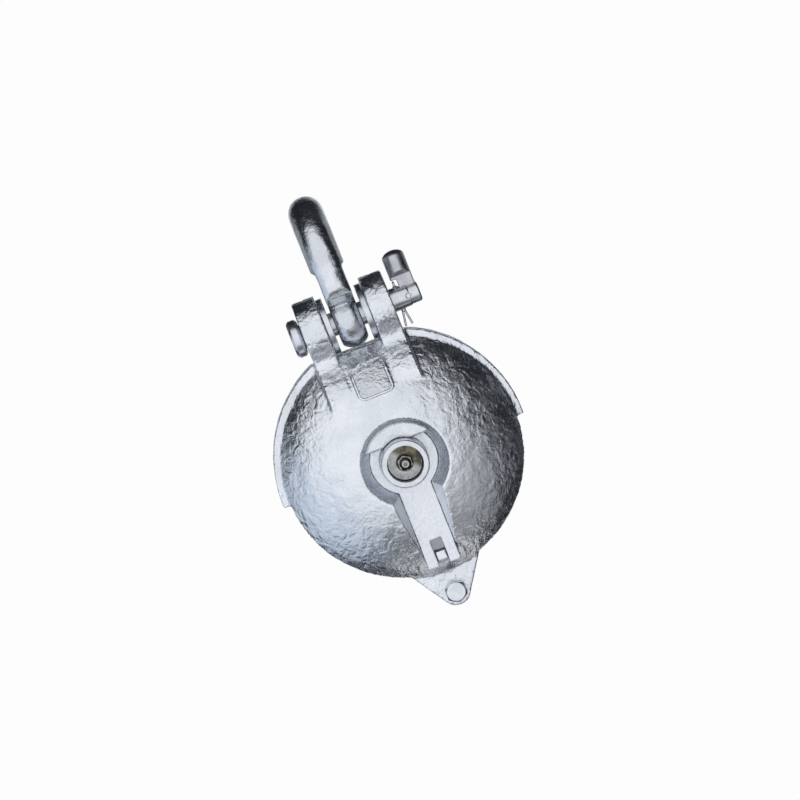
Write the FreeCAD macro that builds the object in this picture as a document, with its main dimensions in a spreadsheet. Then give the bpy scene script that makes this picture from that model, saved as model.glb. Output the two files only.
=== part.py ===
"""Rope pulley with a four inch sheave: two domed cast shells, a keyed axle, an eye shackle and a toggle pin.

Millimetres. +X runs along the shackle pin towards its toggle, +Y from the front shell to the rear one,
+Z up towards the shackle. Sub-parts are drawn about the axle, and the origin of the finished part is the
point inside the crown of the shackle where a sling bears.
"""

import FreeCAD, Part
import os
import Sketcher

os.makedirs("parts", exist_ok=True)
doc = FreeCAD.newDocument("rope_pulley")
Vector = FreeCAD.Vector

# ---------------------------------------------------------------- driving dimensions

SIZES = [
    ("pin_height", 78.5, "axle centre up to the shackle pin centre"),
    ("bow_height", 50.1, "shackle pin centre up to the inside of the crown"),
    # sheave and its bearing
    ("sheave_dia", 101.6, "sheave over its rims"),
    ("rim_width", 24, "sheave across its rims"),
    ("groove_rad", 6.8, "rope groove radius"),
    ("groove_lip", 10.2, "half width of the groove at the rim"),
    ("groove_flank", 6.6, "half width where the flanks meet the round root"),
    ("flank_depth", 4.6, "depth of the groove's sloping flanks"),
    ("hub_width", 22, "sheave across its hub"),
    ("hub_dia", 46, "sheave hub"),
    ("web_width", 9, "sheave web thickness"),
    ("rim_inner_dia", 78, "inside of the sheave rim"),
    ("bush_dia", 31.8, "outside of the bronze bush"),
    ("axle_dia", 25.4, "axle"),
    ("run_gap", 0.06, "radial running clearance"),
    ("thrust_thick", 1.5, "thrust washer thickness"),
    ("thrust_dia", 44, "thrust washer"),
    ("bench_gap", 0.1, "assembly gap between faces that meet"),
    # domed shells
    ("dome_dia", 130, "dome where it meets the rope guard"),
    ("dome_depth", 26, "height of the dome above the rope guard"),
    ("dome_share", 0.9, "dome edge as a share of the ellipsoid it is cut from"),
    ("wall", 5, "shell wall"),
    ("guard_dia", 136.8, "rope guard flange"),
    ("guard_half", 7.5, "rope guard thickness of one shell"),
    ("guard_end", -2, "height where the rope guard stops, from the axle"),
    ("saddle_height", 62.6, "flat top of the domes between the ears, above the axle"),
    ("pad_half", 9.4, "half width of the plain raised pad"),
    ("pad_low", 38, "bottom of the pad above the axle"),
    ("pad_tall", 18.6, "height of the pad"),
    ("pad_round", 3, "corner radius of the pad"),
    ("pad_rise", 0.45, "how far the pad stands off the dome"),
    ("floor_half", 12.8, "inside face of each shell at the hub, from the middle plane"),
    ("boss_rad", 25, "inner boss behind the hub recess"),
    # keyhole recess and keeper plate of the front shell
    ("recess_half", 16.3, "front recess floor, from the middle plane"),
    ("keeper_thick", 3.5, "keeper plate thickness"),
    ("keeper_rad", 18.1, "round head of the keeper plate"),
    ("keeper_flat", 10.2, "flat top of the keeper plate, above the axle"),
    ("arm_half", 9, "half width of the keeper arm"),
    ("arm_end", 59.7, "end of the keeper arm, below the axle"),
    ("fork_half", 3.2, "half width of the fork slot"),
    ("fork_top", 45.1, "inner end of the fork slot, below the axle"),
    ("lug_half", 2.7, "half width of the stop lug on the front shell"),
    ("lug_drop", 54.6, "stop lug below the axle"),
    ("mouth_rad", 25.5, "recess wall at its outer end, beyond the dome"),
    ("mouth_deep", 16, "recess wall from the keeper plate to its outer end"),
    ("mouth_half", 14, "half width of the arm channel at its outer end"),
    ("flare_deep", 12, "channel wall from the keeper plate to its outer end"),
    ("ledge_half", 26.5, "face of the crescent ledge, from the middle plane"),
    ("relief_rad", 12.95, "round relief in the ledge about the axle"),
    # axle ends
    ("axle_front", 37.5, "front end of the axle, from the middle plane"),
    ("axle_rear", 38.5, "rear end of the axle"),
    ("stud_dia", 19, "threaded rear end of the axle"),
    ("bore_rad", 9.5, "counterbore in the front end of the axle"),
    ("bore_depth", 8, "depth of that counterbore"),
    ("grease_rad", 1.6, "grease drillings"),
    ("spot_half", 19.6, "rear recess floor, from the middle plane"),
    ("spot_rad", 19.5, "rear recess floor radius"),
    ("spot_mouth", 24.6, "rear recess wall at its outer end, beyond the dome"),
    ("flat_washer", 2.4, "washer under the axle nut"),
    ("nut_flats", 28.6, "axle nut across its flats"),
    ("nut_hex", 9.5, "hexagonal part of the axle nut"),
    ("crown_rad", 12.6, "slotted crown of the axle nut"),
    ("crown_tall", 4.2, "height of that crown"),
    ("nut_slot", 4, "width of the slots in that crown"),
    ("cotter_dia", 3.2, "axle split pin"),
    ("cotter_back", 3.4, "axle split pin, from the rear end of the axle"),
    # grease nipple
    ("nipple_flats", 7.1, "nipple across its flats"),
    ("nipple_hex", 3.2, "nipple hexagon height"),
    ("nipple_head", 3.25, "nipple head radius"),
    ("nipple_tall", 7.8, "nipple above the counterbore floor"),
    ("nipple_stem", 2.9, "nipple thread radius"),
    ("ball_rad", 1.1, "nipple ball"),
    ("coil_rad", 0.85, "nipple spring, to the middle of its wire"),
    ("coil_pitch", 1.2, "pitch of its six turns"),
    # ears, pin and washers
    ("ear_gap", 25.4, "between the ears"),
    ("ear_thick", 12.5, "each ear"),
    ("ear_rad", 18, "ear about the pin"),
    ("ear_split", 19, "where the front shell's ear laps the rear shell's, from the middle"),
    ("knuckle_rad", 12, "rear ear inside the front ear"),
    ("pin_dia", 12.7, "shackle pin"),
    ("pin_fit", 0.08, "radial clearance of the shackle pin"),
    ("head_dia", 20.6, "shackle pin head"),
    ("head_thick", 6.1, "shackle pin head thickness"),
    ("pin_tip", 41, "end of the shackle pin, from the middle"),
    ("pin_step", 34.7, "where the pin's end steps down"),
    ("tip_dia", 12, "stepped end of the pin"),
    ("spacer_thick", 3.2, "spacer washer thickness"),
    ("spacer_dia", 30.8, "spacer washer"),
    ("spacer_inner", 9.3, "inner face of a spacer washer, from the middle"),
    # toggle and split pin
    ("toggle_dia", 12, "toggle bar"),
    ("toggle_at", 34.3, "toggle pivot, from the middle"),
    ("toggle_tall", 25.2, "top of the toggle above the pin centre"),
    ("toggle_cap", 3.6, "height of the toggle's domed end"),
    ("toggle_flat", 11.7, "top of the toggle's flats above the pin centre"),
    ("toggle_ramp", 2.4, "run-out of those flats"),
    ("tongue_half", 2.45, "half thickness of the toggle's tongue"),
    ("slot_half", 2.6, "half width of the slot in the pin"),
    ("slot_root", 31.2, "root of that slot, from the middle"),
    ("tongue_end", 2.8, "tongue beyond its pivot"),
    ("notch_tall", 10.1, "top of the toggle's notch above the pin centre"),
    ("rivet_dia", 2.8, "toggle rivet"),
    ("split_at", 29.3, "split pin, from the middle"),
    ("split_wire", 1.24, "split pin wire"),
    ("split_leg", 8.6, "split pin legs below the shackle pin"),
    # eye shackle
    ("eye_rad", 15.6, "shackle eye"),
    ("eye_crown", 12, "half width of the ellipsoid that rounds the eye's rims"),
    ("eye_width", 14.6, "shackle eye and neck across"),
    ("bow_bar", 18.8, "shackle bar"),
    ("bow_inner", 17.1, "inside radius of the shackle bow"),
    ("neck_height", 30.5, "shoulder of the shackle above the pin centre"),
    # bottom bolt
    ("tail_drop", 77, "bottom bolt below the axle"),
    ("tail_rad", 8, "rounded end of the bottom ear"),
    ("tail_slope", 57, "slope of the bottom ear's sides, degrees"),
    ("bolt_dia", 6.3, "bottom bolt"),
    ("bolt_flats", 11.1, "bottom bolt and nut across their flats"),
    ("bolt_head", 4.3, "bottom bolt head and nut thickness"),
    ("lock_thick", 1.6, "lock washer under the bottom nut"),
]

sheet = doc.addObject("Spreadsheet::Sheet", "params")
for row, (alias, value, note) in enumerate(SIZES, start=1):
    sheet.set(f"A{row}", note)
    sheet.set(f"B{row}", str(value))
    sheet.setAlias(f"B{row}", alias)
doc.recompute()

AXLE_DROP = "-($bow_height + $pin_height)"
PIN_DROP = "-$bow_height"

# ---------------------------------------------------------------- helpers

TURN = {
    "X": FreeCAD.Rotation(Vector(0, 1, 0), 90),
    "Y": FreeCAD.Rotation(Vector(1, 0, 0), -90),
    "-Y": FreeCAD.Rotation(Vector(1, 0, 0), 90),
    "Z": FreeCAD.Rotation(),
}
PLANE = {"XZ": FreeCAD.Rotation(Vector(1, 0, 0), 90), "YZ": FreeCAD.Rotation(Vector(1, 1, 1), 120)}


def formula(text):
    """An expression on the sheet, with $name standing for one of its aliases."""
    return text.replace("$", "params.")


def number(text):
    """The present value of such an expression."""
    return float(sheet.evalExpression(formula(text)))


def bind(item, **properties):
    """Bind properties of an object to expressions on the sheet."""
    for name, text in properties.items():
        item.setExpression(name, formula(text))
    return item


def place(item, rotation, x="0", y="0", z="0"):
    """Turn an object and bind its position."""
    item.Placement = FreeCAD.Placement(Vector(), rotation)
    for letter, text in zip("xyz", (x, y, z)):
        if text != "0":
            item.setExpression(f"Placement.Base.{letter}", formula(text))
    return item


def cylinder(name, radius, length, axis, x="0", y="0", z="0"):
    """A cylinder that starts at a point and runs along an axis."""
    item = bind(doc.addObject("Part::Cylinder", name), Radius=radius, Height=length)
    return place(item, TURN[axis], x, y, z)


def cone(name, start_radius, end_radius, length, axis, x="0", y="0", z="0"):
    """A cone frustum that starts at a point and runs along an axis."""
    item = doc.addObject("Part::Cone", name)
    bind(item, Radius1=start_radius, Radius2=end_radius, Height=length)
    return place(item, TURN[axis], x, y, z)


def box(name, low, size):
    """A box from its low corner and its size."""
    item = bind(doc.addObject("Part::Box", name), Length=size[0], Width=size[1], Height=size[2])
    return place(item, TURN["Z"], *low)


def dome(name, offset="0"):
    """A shallow dome that bulges towards -Y from the rope guard, set back by an offset all over."""
    flat = "sqrt(1 - $dome_share * $dome_share)"
    centre = f"$dome_depth * {flat} / (1 - {flat})"
    item = doc.addObject("Part::Ellipsoid", f"{name}_whole")
    radius = f"$dome_dia / 2 / $dome_share - ({offset})"
    bind(item, Radius1=f"$dome_depth + {centre} - ({offset})", Radius2=radius, Radius3=radius)
    place(item, TURN["-Y"], y=f"-$guard_half + {centre}")
    front = box(
        f"{name}_front",
        ("-$dome_dia", "-$dome_dia - $guard_half", "-$dome_dia"),
        ("2 * $dome_dia", "$dome_dia", "2 * $dome_dia"),
    )
    return common(name, item, front)


def fuse(name, *items):
    """The union of several objects."""
    item = doc.addObject("Part::MultiFuse", name)
    item.Shapes = list(items)
    return item


def common(name, *items):
    """What several objects share."""
    item = doc.addObject("Part::MultiCommon", name)
    item.Shapes = list(items)
    return item


def cut(name, base, *tools):
    """One object less several others."""
    item = doc.addObject("Part::Cut", name)
    item.Base = base
    item.Tool = tools[0] if len(tools) == 1 else fuse(f"{name}_tools", *tools)
    return item


def mirror(name, source, normal):
    """A mirror image about a plane through the origin."""
    item = doc.addObject("Part::Mirroring", name)
    item.Source = source
    item.Normal = normal
    return item


def draw(sketch, points):
    """Draw a closed outline whose corners are bound to pairs of expressions."""
    corners = [Vector(number(a), number(b), 0) for a, b in points]
    for index, corner in enumerate(corners):
        sketch.addGeometry(Part.LineSegment(corner, corners[(index + 1) % len(corners)]), False)
    for index in range(len(corners)):
        following = (index + 1) % len(corners)
        sketch.addConstraint(Sketcher.Constraint("Coincident", index, 2, following, 1))
    for index, pair in enumerate(points):
        for kind, text in zip(("DistanceX", "DistanceY"), pair):
            row = sketch.addConstraint(Sketcher.Constraint(kind, -1, 1, index, 1, number(text)))
            if "$" in text:
                sketch.setExpression(f"Constraints[{row}]", formula(text))
    return sketch


def prism(name, plane, points, length, x="0", y="0", z="0"):
    """An outline in a plane, extruded along the plane's normal: -Y for XZ and +X for YZ."""
    sketch = draw(doc.addObject("Sketcher::SketchObject", f"{name}_outline"), points)
    place(sketch, PLANE[plane], x, y, z)
    item = doc.addObject("Part::Extrusion", name)
    item.Base = sketch
    item.DirMode = "Normal"
    item.Solid = True
    return bind(item, LengthFwd=length)


def body_sketch(body, plane, points):
    """A bound outline on one of a body's own origin planes."""
    sketch = body.newObject("Sketcher::SketchObject", f"{body.Name}_profile")
    role = f"{plane}_Plane"
    support = next(item for item in body.Origin.OriginFeatures if item.Role == role)
    sketch.AttachmentSupport = [(support, "")]
    sketch.MapMode = "FlatFace"
    return draw(sketch, points)


def turned(name, plane, points):
    """A body turned about the horizontal axis of a plane: Y for YZ and X for XZ."""
    body = doc.addObject("PartDesign::Body", name)
    sketch = body_sketch(body, plane, points)
    feature = body.newObject("PartDesign::Revolution", f"{name}_turned")
    feature.Profile = sketch
    feature.ReferenceAxis = (sketch, ["H_Axis"])
    feature.Angle = 360
    sketch.Visibility = False
    return body


def ring(name, plane, inner, outer, start, end):
    """A plain turned ring between two radii and two stations along its axis."""
    return turned(name, plane, [(start, inner), (end, inner), (end, outer), (start, outer)])


def hexagon(name, flats, length, y, z="0"):
    """A hexagonal bar along -Y from y, with two corners up and down."""
    points = [(f"{flats} / sqrt(3) * sin({60 * k})", f"{flats} / sqrt(3) * cos({60 * k})") for k in range(6)]
    return prism(name, "XZ", points, length, y=y, z=z)


NODES = []


def node(label, item, z=AXLE_DROP, x="0"):
    """Keep an object as a sub-part of the finished pulley, dropped below the origin."""
    item.Label = label
    place(item, FreeCAD.Rotation(), x=x, z=z)
    NODES.append(item)
    return item


# ---------------------------------------------------------------- shells


def ear(side):
    """One full ear of a front shell: a disc about the pin and a rib that runs down into the dome."""
    disc = cylinder(f"{side}_disc", "$ear_rad", "$ear_thick", "X", x="$ear_gap / 2", z="$pin_height")
    rib = prism(
        f"{side}_rib",
        "YZ",
        [
            ("-$bench_gap", "$pin_height - 25"),
            ("-$bench_gap", "$pin_height"),
            ("-$ear_rad * cos(35)", "$pin_height - $ear_rad * sin(35)"),
            ("-$guard_half - 5.8", "$pin_height - 13.2"),
            ("-$guard_half - 5.1", "$pin_height - 15.6"),
            ("-$guard_half - 5.4", "$pin_height - 17.8"),
            ("-$guard_half - 7", "$pin_height - 20.6"),
            ("-$guard_half - 9.4", "$pin_height - 23.6"),
            ("-$guard_half - 12.7", "$pin_height - 28.2"),
            ("-$guard_half - 15.3", "$pin_height - 32.8"),
            ("-$guard_half - 16.7", "$pin_height - 36.6"),
            ("-$guard_half - 16.5", "$pin_height - 40.6"),
            ("-$guard_half - 12", "$pin_height - 41.6"),
        ],
        "$ear_thick",
        x="$ear_gap / 2",
    )
    return fuse(f"{side}_ear", disc, rib)


def blank(name):
    """The casting that both shells start from, on the front side."""
    cap = dome(f"{name}_dome")
    guard = cylinder(f"{name}_guard", "$guard_dia / 2", "$guard_half - $bench_gap", "Y", y="-$guard_half")
    upper = box(
        f"{name}_upper",
        ("-$guard_dia", "-$guard_half", "$guard_end"),
        ("2 * $guard_dia", "$guard_half", "$guard_dia"),
    )
    right = ear(name)
    left = mirror(f"{name}_left", right, Vector(1, 0, 0))
    slope = "$tail_slope"
    tangent_z = f"-$tail_drop - $tail_rad * cos({slope})"
    root_drop = f"$tail_drop - $dome_dia / 2 + $wall + $tail_rad * cos({slope})"
    root_x = f"$tail_rad * sin({slope}) + ({root_drop}) / tan({slope})"
    tail = prism(
        f"{name}_tail",
        "XZ",
        [
            (f"-({root_x})", "-$dome_dia / 2 + $wall"),
            (f"-$tail_rad * sin({slope})", tangent_z),
            (f"$tail_rad * sin({slope})", tangent_z),
            (root_x, "-$dome_dia / 2 + $wall"),
        ],
        "$guard_half - $bench_gap",
        y="-$bench_gap",
    )
    thick = "$guard_half - $bench_gap"
    tip = cylinder(f"{name}_tip", "$tail_rad", thick, "Y", y="-$guard_half", z="-$tail_drop")
    rough = fuse(f"{name}_rough", cap, common(f"{name}_rim", guard, upper), right, left, tail, tip)

    hollow = dome(f"{name}_hollow", "$wall")
    throat = cylinder(f"{name}_throat", "$dome_dia / 2 - $wall", "$guard_half", "Y", y="-$guard_half")
    scoop = cylinder(f"{name}_scoop", "$eye_rad + 0.8", "$ear_gap", "X", x="-$ear_gap / 2", z="$pin_height")
    saddle = box(
        f"{name}_saddle",
        ("-$ear_gap / 2", "-$dome_dia / 2", "$saddle_height"),
        ("$ear_gap", "$dome_dia / 2", "$pin_height"),
    )
    pin_hole = "$pin_dia / 2 + $pin_fit"
    bore = cylinder(f"{name}_pin_bore", pin_hole, "$dome_dia", "X", x="-$dome_dia / 2", z="$pin_height")
    bolt_hole = "$bolt_dia / 2 + 0.2"
    past = "$guard_half + 1"
    bolt = cylinder(f"{name}_bolt_hole", bolt_hole, past, "Y", y=f"-({past})", z="-$tail_drop")
    shaped = cut(f"{name}_shaped", rough, hollow, throat, scoop, saddle, bore, bolt)
    return shaped, cap


def keyhole(name, radius, half, y, length):
    """A keyhole prism: a round head on the axle and a channel that runs down from it."""
    head = cylinder(f"{name}_head", radius, length, "Y", y=y)
    arm = box(f"{name}_arm", (f"-{half}", y, "-$dome_dia / 2"), (f"2 * {half}", length, "$dome_dia / 2"))
    return fuse(name, head, arm)


def front_shell():
    """The front shell, with its keyhole recess, crescent ledge, stop lug and outer ear cheeks."""
    shaped, cap = blank("front")
    boss = cylinder("front_boss", "$boss_rad", "$dome_depth", "-Y", y="-$floor_half")
    spine = box(
        "front_spine",
        ("-$mouth_half", "-$floor_half - $dome_depth", "-$dome_dia / 2 + $wall"),
        ("2 * $mouth_half", "$dome_depth", "$dome_dia / 2 - $wall"),
    )
    backing = common("front_backing", cap, fuse("front_boss_keyhole", boss, spine))

    keeper_top = "$recess_half + $keeper_thick"
    pocket = keyhole("pocket", "$keeper_rad + 0.1", "($arm_half + 0.1)", f"-({keeper_top})", "$keeper_thick")
    mouth = cone("mouth", "$keeper_rad + 0.1", "$mouth_rad", "$mouth_deep", "-Y", y=f"-({keeper_top})")
    flare = bind(
        doc.addObject("Part::Wedge", "flare"),
        Xmin="-$mouth_half",
        Xmax="$mouth_half",
        X2min="-$arm_half - 0.1",
        X2max="$arm_half + 0.1",
        Ymin=f"-({keeper_top}) - $flare_deep",
        Ymax=f"-({keeper_top})",
        Zmin="-$dome_dia / 2",
        Zmax="0",
        Z2min="-$dome_dia / 2",
        Z2max="0",
    )
    ledge_block = box(
        "ledge_block",
        ("-$dome_dia", "-$ledge_half", "$keeper_flat + 0.3"),
        ("2 * $dome_dia", "$ledge_half", "$dome_dia"),
    )
    ledge = cut("ledge", ledge_block, cylinder("relief", "$relief_rad", "$dome_dia", "-Y"))
    recess = cut("recess", fuse("recess_rough", pocket, mouth, flare), ledge)

    core = cut("pad_core", dome("pad_skin", "-$pad_rise"), dome("pad_gap", "2"))
    low_corner = "-$pad_half + $pad_round"
    rows = ("$pad_low + $pad_round", "$pad_low + $pad_tall - $pad_round")
    discs = [
        cylinder(f"pad_corner_{i}{j}", "$pad_round", "$dome_dia / 2", "-Y", x=x, z=z)
        for i, x in enumerate((low_corner, f"-({low_corner})"))
        for j, z in enumerate(rows)
    ]
    wide = box(
        "pad_wide",
        ("-$pad_half", "-$dome_dia / 2", "$pad_low + $pad_round"),
        ("2 * $pad_half", "$dome_dia / 2", "$pad_tall - 2 * $pad_round"),
    )
    tall = box(
        "pad_tall_box",
        (low_corner, "-$dome_dia / 2", "$pad_low"),
        (f"-2 * ({low_corner})", "$dome_dia / 2", "$pad_tall"),
    )
    pad = common("pad", core, fuse("pad_outline", wide, tall, *discs))

    lug = box(
        "lug",
        ("-$lug_half", f"-({keeper_top}) + 0.3", "-$lug_drop - $lug_half"),
        ("2 * $lug_half", "$keeper_thick + 2", "2 * $lug_half"),
    )
    axle_hole = cylinder("front_axle_hole", "$axle_dia / 2 + 0.05", "$dome_dia / 2", "-Y")
    recessed = cut("front_recessed", fuse("front_filled", shaped, backing), recess)
    solid = fuse("front_solid", recessed, lug, pad)

    lap = "$ear_split - $ear_gap / 2"
    room = "$knuckle_rad + 0.3"
    pocket_disc = cylinder("knuckle_pocket", room, lap, "X", x="$ear_gap / 2", z="$pin_height")
    behind = box(
        "lap_behind",
        ("$ear_gap / 2", "-$bench_gap", "$dome_dia / 2 - $wall"),
        (lap, "$dome_dia / 2", "$dome_dia / 2"),
    )
    under = box(
        "cheek_under",
        ("$ear_gap / 2", "0", "0"),
        ("$dome_dia / 2", "$dome_dia / 2", "$guard_dia / 2"),
    )
    gap_right = fuse("front_lap", pocket_disc, behind, under)
    gap_left = mirror("front_lap_left", gap_right, Vector(1, 0, 0))
    node("front_shell", cut("front_shell", solid, axle_hole, gap_right, gap_left))


def rear_shell():
    """The rear shell: the same casting mirrored, with a round nut recess and inner ear knuckles."""
    shaped, cap = blank("rear")
    boss = cylinder("rear_boss", "$boss_rad", "$dome_depth", "-Y", y="-$floor_half")
    backing = common("rear_backing", cap, boss)
    spot = cone("spot", "$spot_rad", "$spot_mouth", "$mouth_deep", "-Y", y="-$spot_half")
    stud_hole = cylinder("stud_hole", "$stud_dia / 2 + 0.1", "$dome_dia / 2", "-Y")

    reach = "$ear_gap / 2 + $ear_thick + 1"
    cheek_start = "$ear_split - 0.2"
    span = f"{reach} - ({cheek_start})"
    cheek = cylinder("cheek_gap", "$ear_rad + 0.4", span, "X", x=cheek_start, z="$pin_height")
    knuckle = cylinder("knuckle", "$knuckle_rad", "$ear_thick", "X", x="$ear_gap / 2", z="$pin_height")
    front_half = box(
        "knuckle_front",
        ("$ear_gap / 2 - 0.2", "-$bench_gap", "$dome_dia / 2 - $wall"),
        ("$ear_thick + 0.4", "$dome_dia / 2", "$dome_dia / 2"),
    )
    lap = cut("knuckle_lap", front_half, knuckle)
    gap_right = fuse("rear_lap", cheek, lap)
    gap_left = mirror("rear_lap_left", gap_right, Vector(1, 0, 0))
    inner = "$ear_split - 0.2 - $ear_gap / 2"
    nose = cut(
        "knuckle_nose",
        cylinder("nose_disc", "$knuckle_rad", inner, "X", x="$ear_gap / 2", z="$pin_height"),
        cylinder("nose_bore", "$pin_dia / 2 + $pin_fit", "$dome_dia", "X", z="$pin_height"),
    )
    nose_left = mirror("knuckle_nose_left", nose, Vector(1, 0, 0))
    bare = cut("rear_bare", fuse("rear_filled", shaped, backing), spot, stud_hole, gap_right, gap_left)
    casting = fuse("rear_casting", bare, nose, nose_left)
    node("rear_shell", mirror("rear_shell", casting, Vector(0, 1, 0)))


# ---------------------------------------------------------------- sheave and axle


def sheave():
    """The grooved sheave and the bronze bush pressed into it."""
    half_rim = "$rim_width / 2"
    rim = "$sheave_dia / 2"
    half_outline = [
        ("$hub_width / 2", "$bush_dia / 2"),
        ("$hub_width / 2", "$hub_dia / 2"),
        ("$web_width / 2", "$hub_dia / 2 + 4"),
        ("$web_width / 2", "$rim_inner_dia / 2 - 3"),
        (half_rim, "$rim_inner_dia / 2"),
        (half_rim, rim),
        ("$groove_lip", rim),
        ("$groove_flank", f"{rim} - $flank_depth"),
    ]
    other_half = [(f"-({a})", b) for a, b in reversed(half_outline)]
    wheel = turned("sheave_blank", "YZ", half_outline + other_half)
    groove = doc.addObject("Part::Torus", "groove")
    bind(groove, Radius1="$sheave_dia / 2 - 2.8", Radius2="$groove_rad")
    place(groove, TURN["Y"])
    node("sheave", cut("sheave", wheel, groove))
    bush = ("$axle_dia / 2 + $run_gap", "$bush_dia / 2", "-$hub_width / 2", "$hub_width / 2")
    node("sheave_bush", ring("sheave_bush", "YZ", *bush))


def axle():
    """The axle, drilled for grease, and the washers and nut that hold it."""
    radius = "$axle_dia / 2"
    stud = "$stud_dia / 2"
    bar = turned(
        "axle_bar",
        "YZ",
        [
            ("-$axle_front", "$bore_rad"),
            ("-$axle_front", f"{radius} - 0.6"),
            ("-$axle_front + 0.6", radius),
            ("$floor_half", radius),
            ("$floor_half", stud),
            ("$axle_rear - 1", stud),
            ("$axle_rear", f"{stud} - 1"),
            ("$axle_rear", "0"),
            ("-$axle_front + $bore_depth", "0"),
            ("-$axle_front + $bore_depth", "$bore_rad"),
        ],
    )
    tapping = cylinder("tapping", "$nipple_stem", "8", "Y", y="-$axle_front + $bore_depth")
    gallery = cylinder("gallery", "$grease_rad", "$axle_front - $bore_depth", "-Y")
    feed = cylinder("feed", "$grease_rad", "$axle_dia", "Z")
    pin_y = "$axle_rear - $cotter_back"
    cross = cylinder("cotter_hole", "$cotter_dia / 2 + 0.15", "$axle_dia", "X", x=f"-{radius}", y=pin_y)
    node("axle", cut("axle", bar, tapping, gallery, feed, cross))

    inner = f"{radius} + $run_gap"
    outer = "$thrust_dia / 2"
    start = "$hub_width / 2 + $bench_gap"
    end = f"{start} + $thrust_thick"
    node("front_thrust_washer", ring("front_thrust_washer", "YZ", inner, outer, f"-({end})", f"-({start})"))
    node("rear_thrust_washer", ring("rear_thrust_washer", "YZ", inner, outer, start, end))

    seat = "$spot_half + $bench_gap"
    washer_top = f"{seat} + $flat_washer"
    node("axle_washer", ring("axle_washer", "YZ", f"{stud} + 0.3", "17", seat, washer_top))
    nut_low = f"{washer_top} + $bench_gap"
    nut_top = f"{nut_low} + $nut_hex"
    flats = hexagon("nut_flats_bar", "$nut_flats", "$nut_hex", y=nut_top)
    crown = cylinder("nut_crown", "$crown_rad", "$crown_tall", "Y", y=nut_top)
    slots = []
    for turn in (0, 60, 120):
        slot = bind(
            doc.addObject("Part::Box", f"slot_{turn}"),
            Length="$nut_flats",
            Width="$crown_tall",
            Height="$nut_slot",
        )
        back = f"-$nut_flats / 2 * cos({turn}) - $nut_slot / 2 * sin({turn})"
        down = f"$nut_flats / 2 * sin({turn}) - $nut_slot / 2 * cos({turn})"
        rotation = FreeCAD.Rotation(Vector(0, 1, 0), turn)
        slots.append(place(slot, rotation, x=back, y=f"{nut_top} + 0.2", z=down))
    thread = cylinder("nut_thread", f"{stud} + 0.05", "$dome_dia / 2", "Y")
    node("axle_nut", cut("axle_nut", fuse("nut_solid", flats, crown), thread, *slots))

    shank = cylinder("cotter_shank", "$cotter_dia / 2", "30.8", "X", x="-15.2", y=pin_y)
    eye = bind(doc.addObject("Part::Torus", "cotter_eye"), Radius1="2.2", Radius2="$cotter_dia / 4")
    place(eye, TURN["Z"], x="-16.8", y=pin_y)
    leg = cylinder("cotter_leg", "$cotter_dia / 4", "7.5", "-Y", x="15.3", y=f"{pin_y} + $cotter_dia / 4")
    node("axle_split_pin", fuse("axle_split_pin", shank, eye, leg))


def keeper():
    """The keyhole keeper plate on the axle, whose fork straddles the stop lug."""
    top = "$recess_half + $keeper_thick"
    thick = "$keeper_thick - $bench_gap"
    head = cylinder("keeper_head", "$keeper_rad", thick, "Y", y=f"-({top})")
    arm = box("keeper_arm", ("-$arm_half", f"-({top})", "-$arm_end"), ("2 * $arm_half", thick, "$arm_end"))
    through = "$keeper_thick + 2"
    slot = box(
        "keeper_slot",
        ("-$fork_half", f"-({top}) - 1", "-$arm_end - 1"),
        ("2 * $fork_half", through, "$arm_end - $fork_top + 1"),
    )
    flat = box(
        "keeper_top",
        ("-$dome_dia", f"-({top}) - 1", "$keeper_flat"),
        ("2 * $dome_dia", through, "$dome_dia"),
    )
    hole = cylinder("keeper_hole", "$axle_dia / 2", "$dome_dia / 2", "-Y")
    node("keeper_plate", cut("keeper_plate", fuse("keeper_solid", head, arm), slot, flat, hole))


def nipple():
    """The grease nipple in the end of the axle, and its ball."""
    floor = "$axle_front - $bore_depth"
    tip = "$axle_front - $bore_depth + $nipple_tall"
    body = turned(
        "nipple_body",
        "YZ",
        [
            (f"-({floor}) + 6", "1.3"),
            (f"-({tip}) + 1.1", "1.3"),
            (f"-({tip}) + 0.5", "0.8"),
            (f"-({tip})", "0.8"),
            (f"-({tip})", "1.9"),
            (f"-({tip}) + 1.6", "$nipple_head"),
            (f"-({tip}) + 2.4", "$nipple_head"),
            (f"-({tip}) + 3.2", "2.4"),
            (f"-({floor}) - 1", "2.4"),
            (f"-({floor}) - 1", "$nipple_stem - 0.02"),
            (f"-({floor}) + 6", "$nipple_stem - 0.02"),
        ],
    )
    flats = hexagon("nipple_flats_bar", "$nipple_flats", "$nipple_hex", y=f"-({floor})")
    hollow = cylinder("nipple_hollow", "1.3", "20", "-Y", y=f"-({floor}) + 6")
    node("grease_nipple", fuse("grease_nipple", body, cut("nipple_collar", flats, hollow)))
    ball = bind(doc.addObject("Part::Sphere", "ball"), Radius="$ball_rad")
    place(ball, TURN["Z"], y=f"-({tip}) + 1.3")
    core = cylinder("ball_core", "0.3", "0.6", "Y", y=f"-({tip}) + 1")
    node("nipple_ball", fuse("nipple_ball", ball, core))

    coil = doc.addObject("Part::Helix", "coil")
    bind(coil, Pitch="$coil_pitch", Height="6 * $coil_pitch", Radius="$coil_rad")
    wire = bind(doc.addObject("Part::Circle", "coil_wire"), Radius="0.22")
    place(wire, FreeCAD.Rotation(Vector(1, 0, 0), 90), x="$coil_rad")
    spring = doc.addObject("Part::Sweep", "spring")
    spring.Sections = [wire]
    spring.Spine = (coil, [])
    spring.Solid = True
    spring.Frenet = True
    place(spring, TURN["Y"], y=f"-({tip}) + 1.3 + $ball_rad + 0.3")
    coil_end = f"-({tip}) + 2.5 + 6 * $coil_pitch"
    seat = ring("spring_seat", "YZ", "0.5", "1.25", coil_end, f"{coil_end} + 0.8")
    node("nipple_spring", fuse("nipple_spring", spring, seat))


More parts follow.
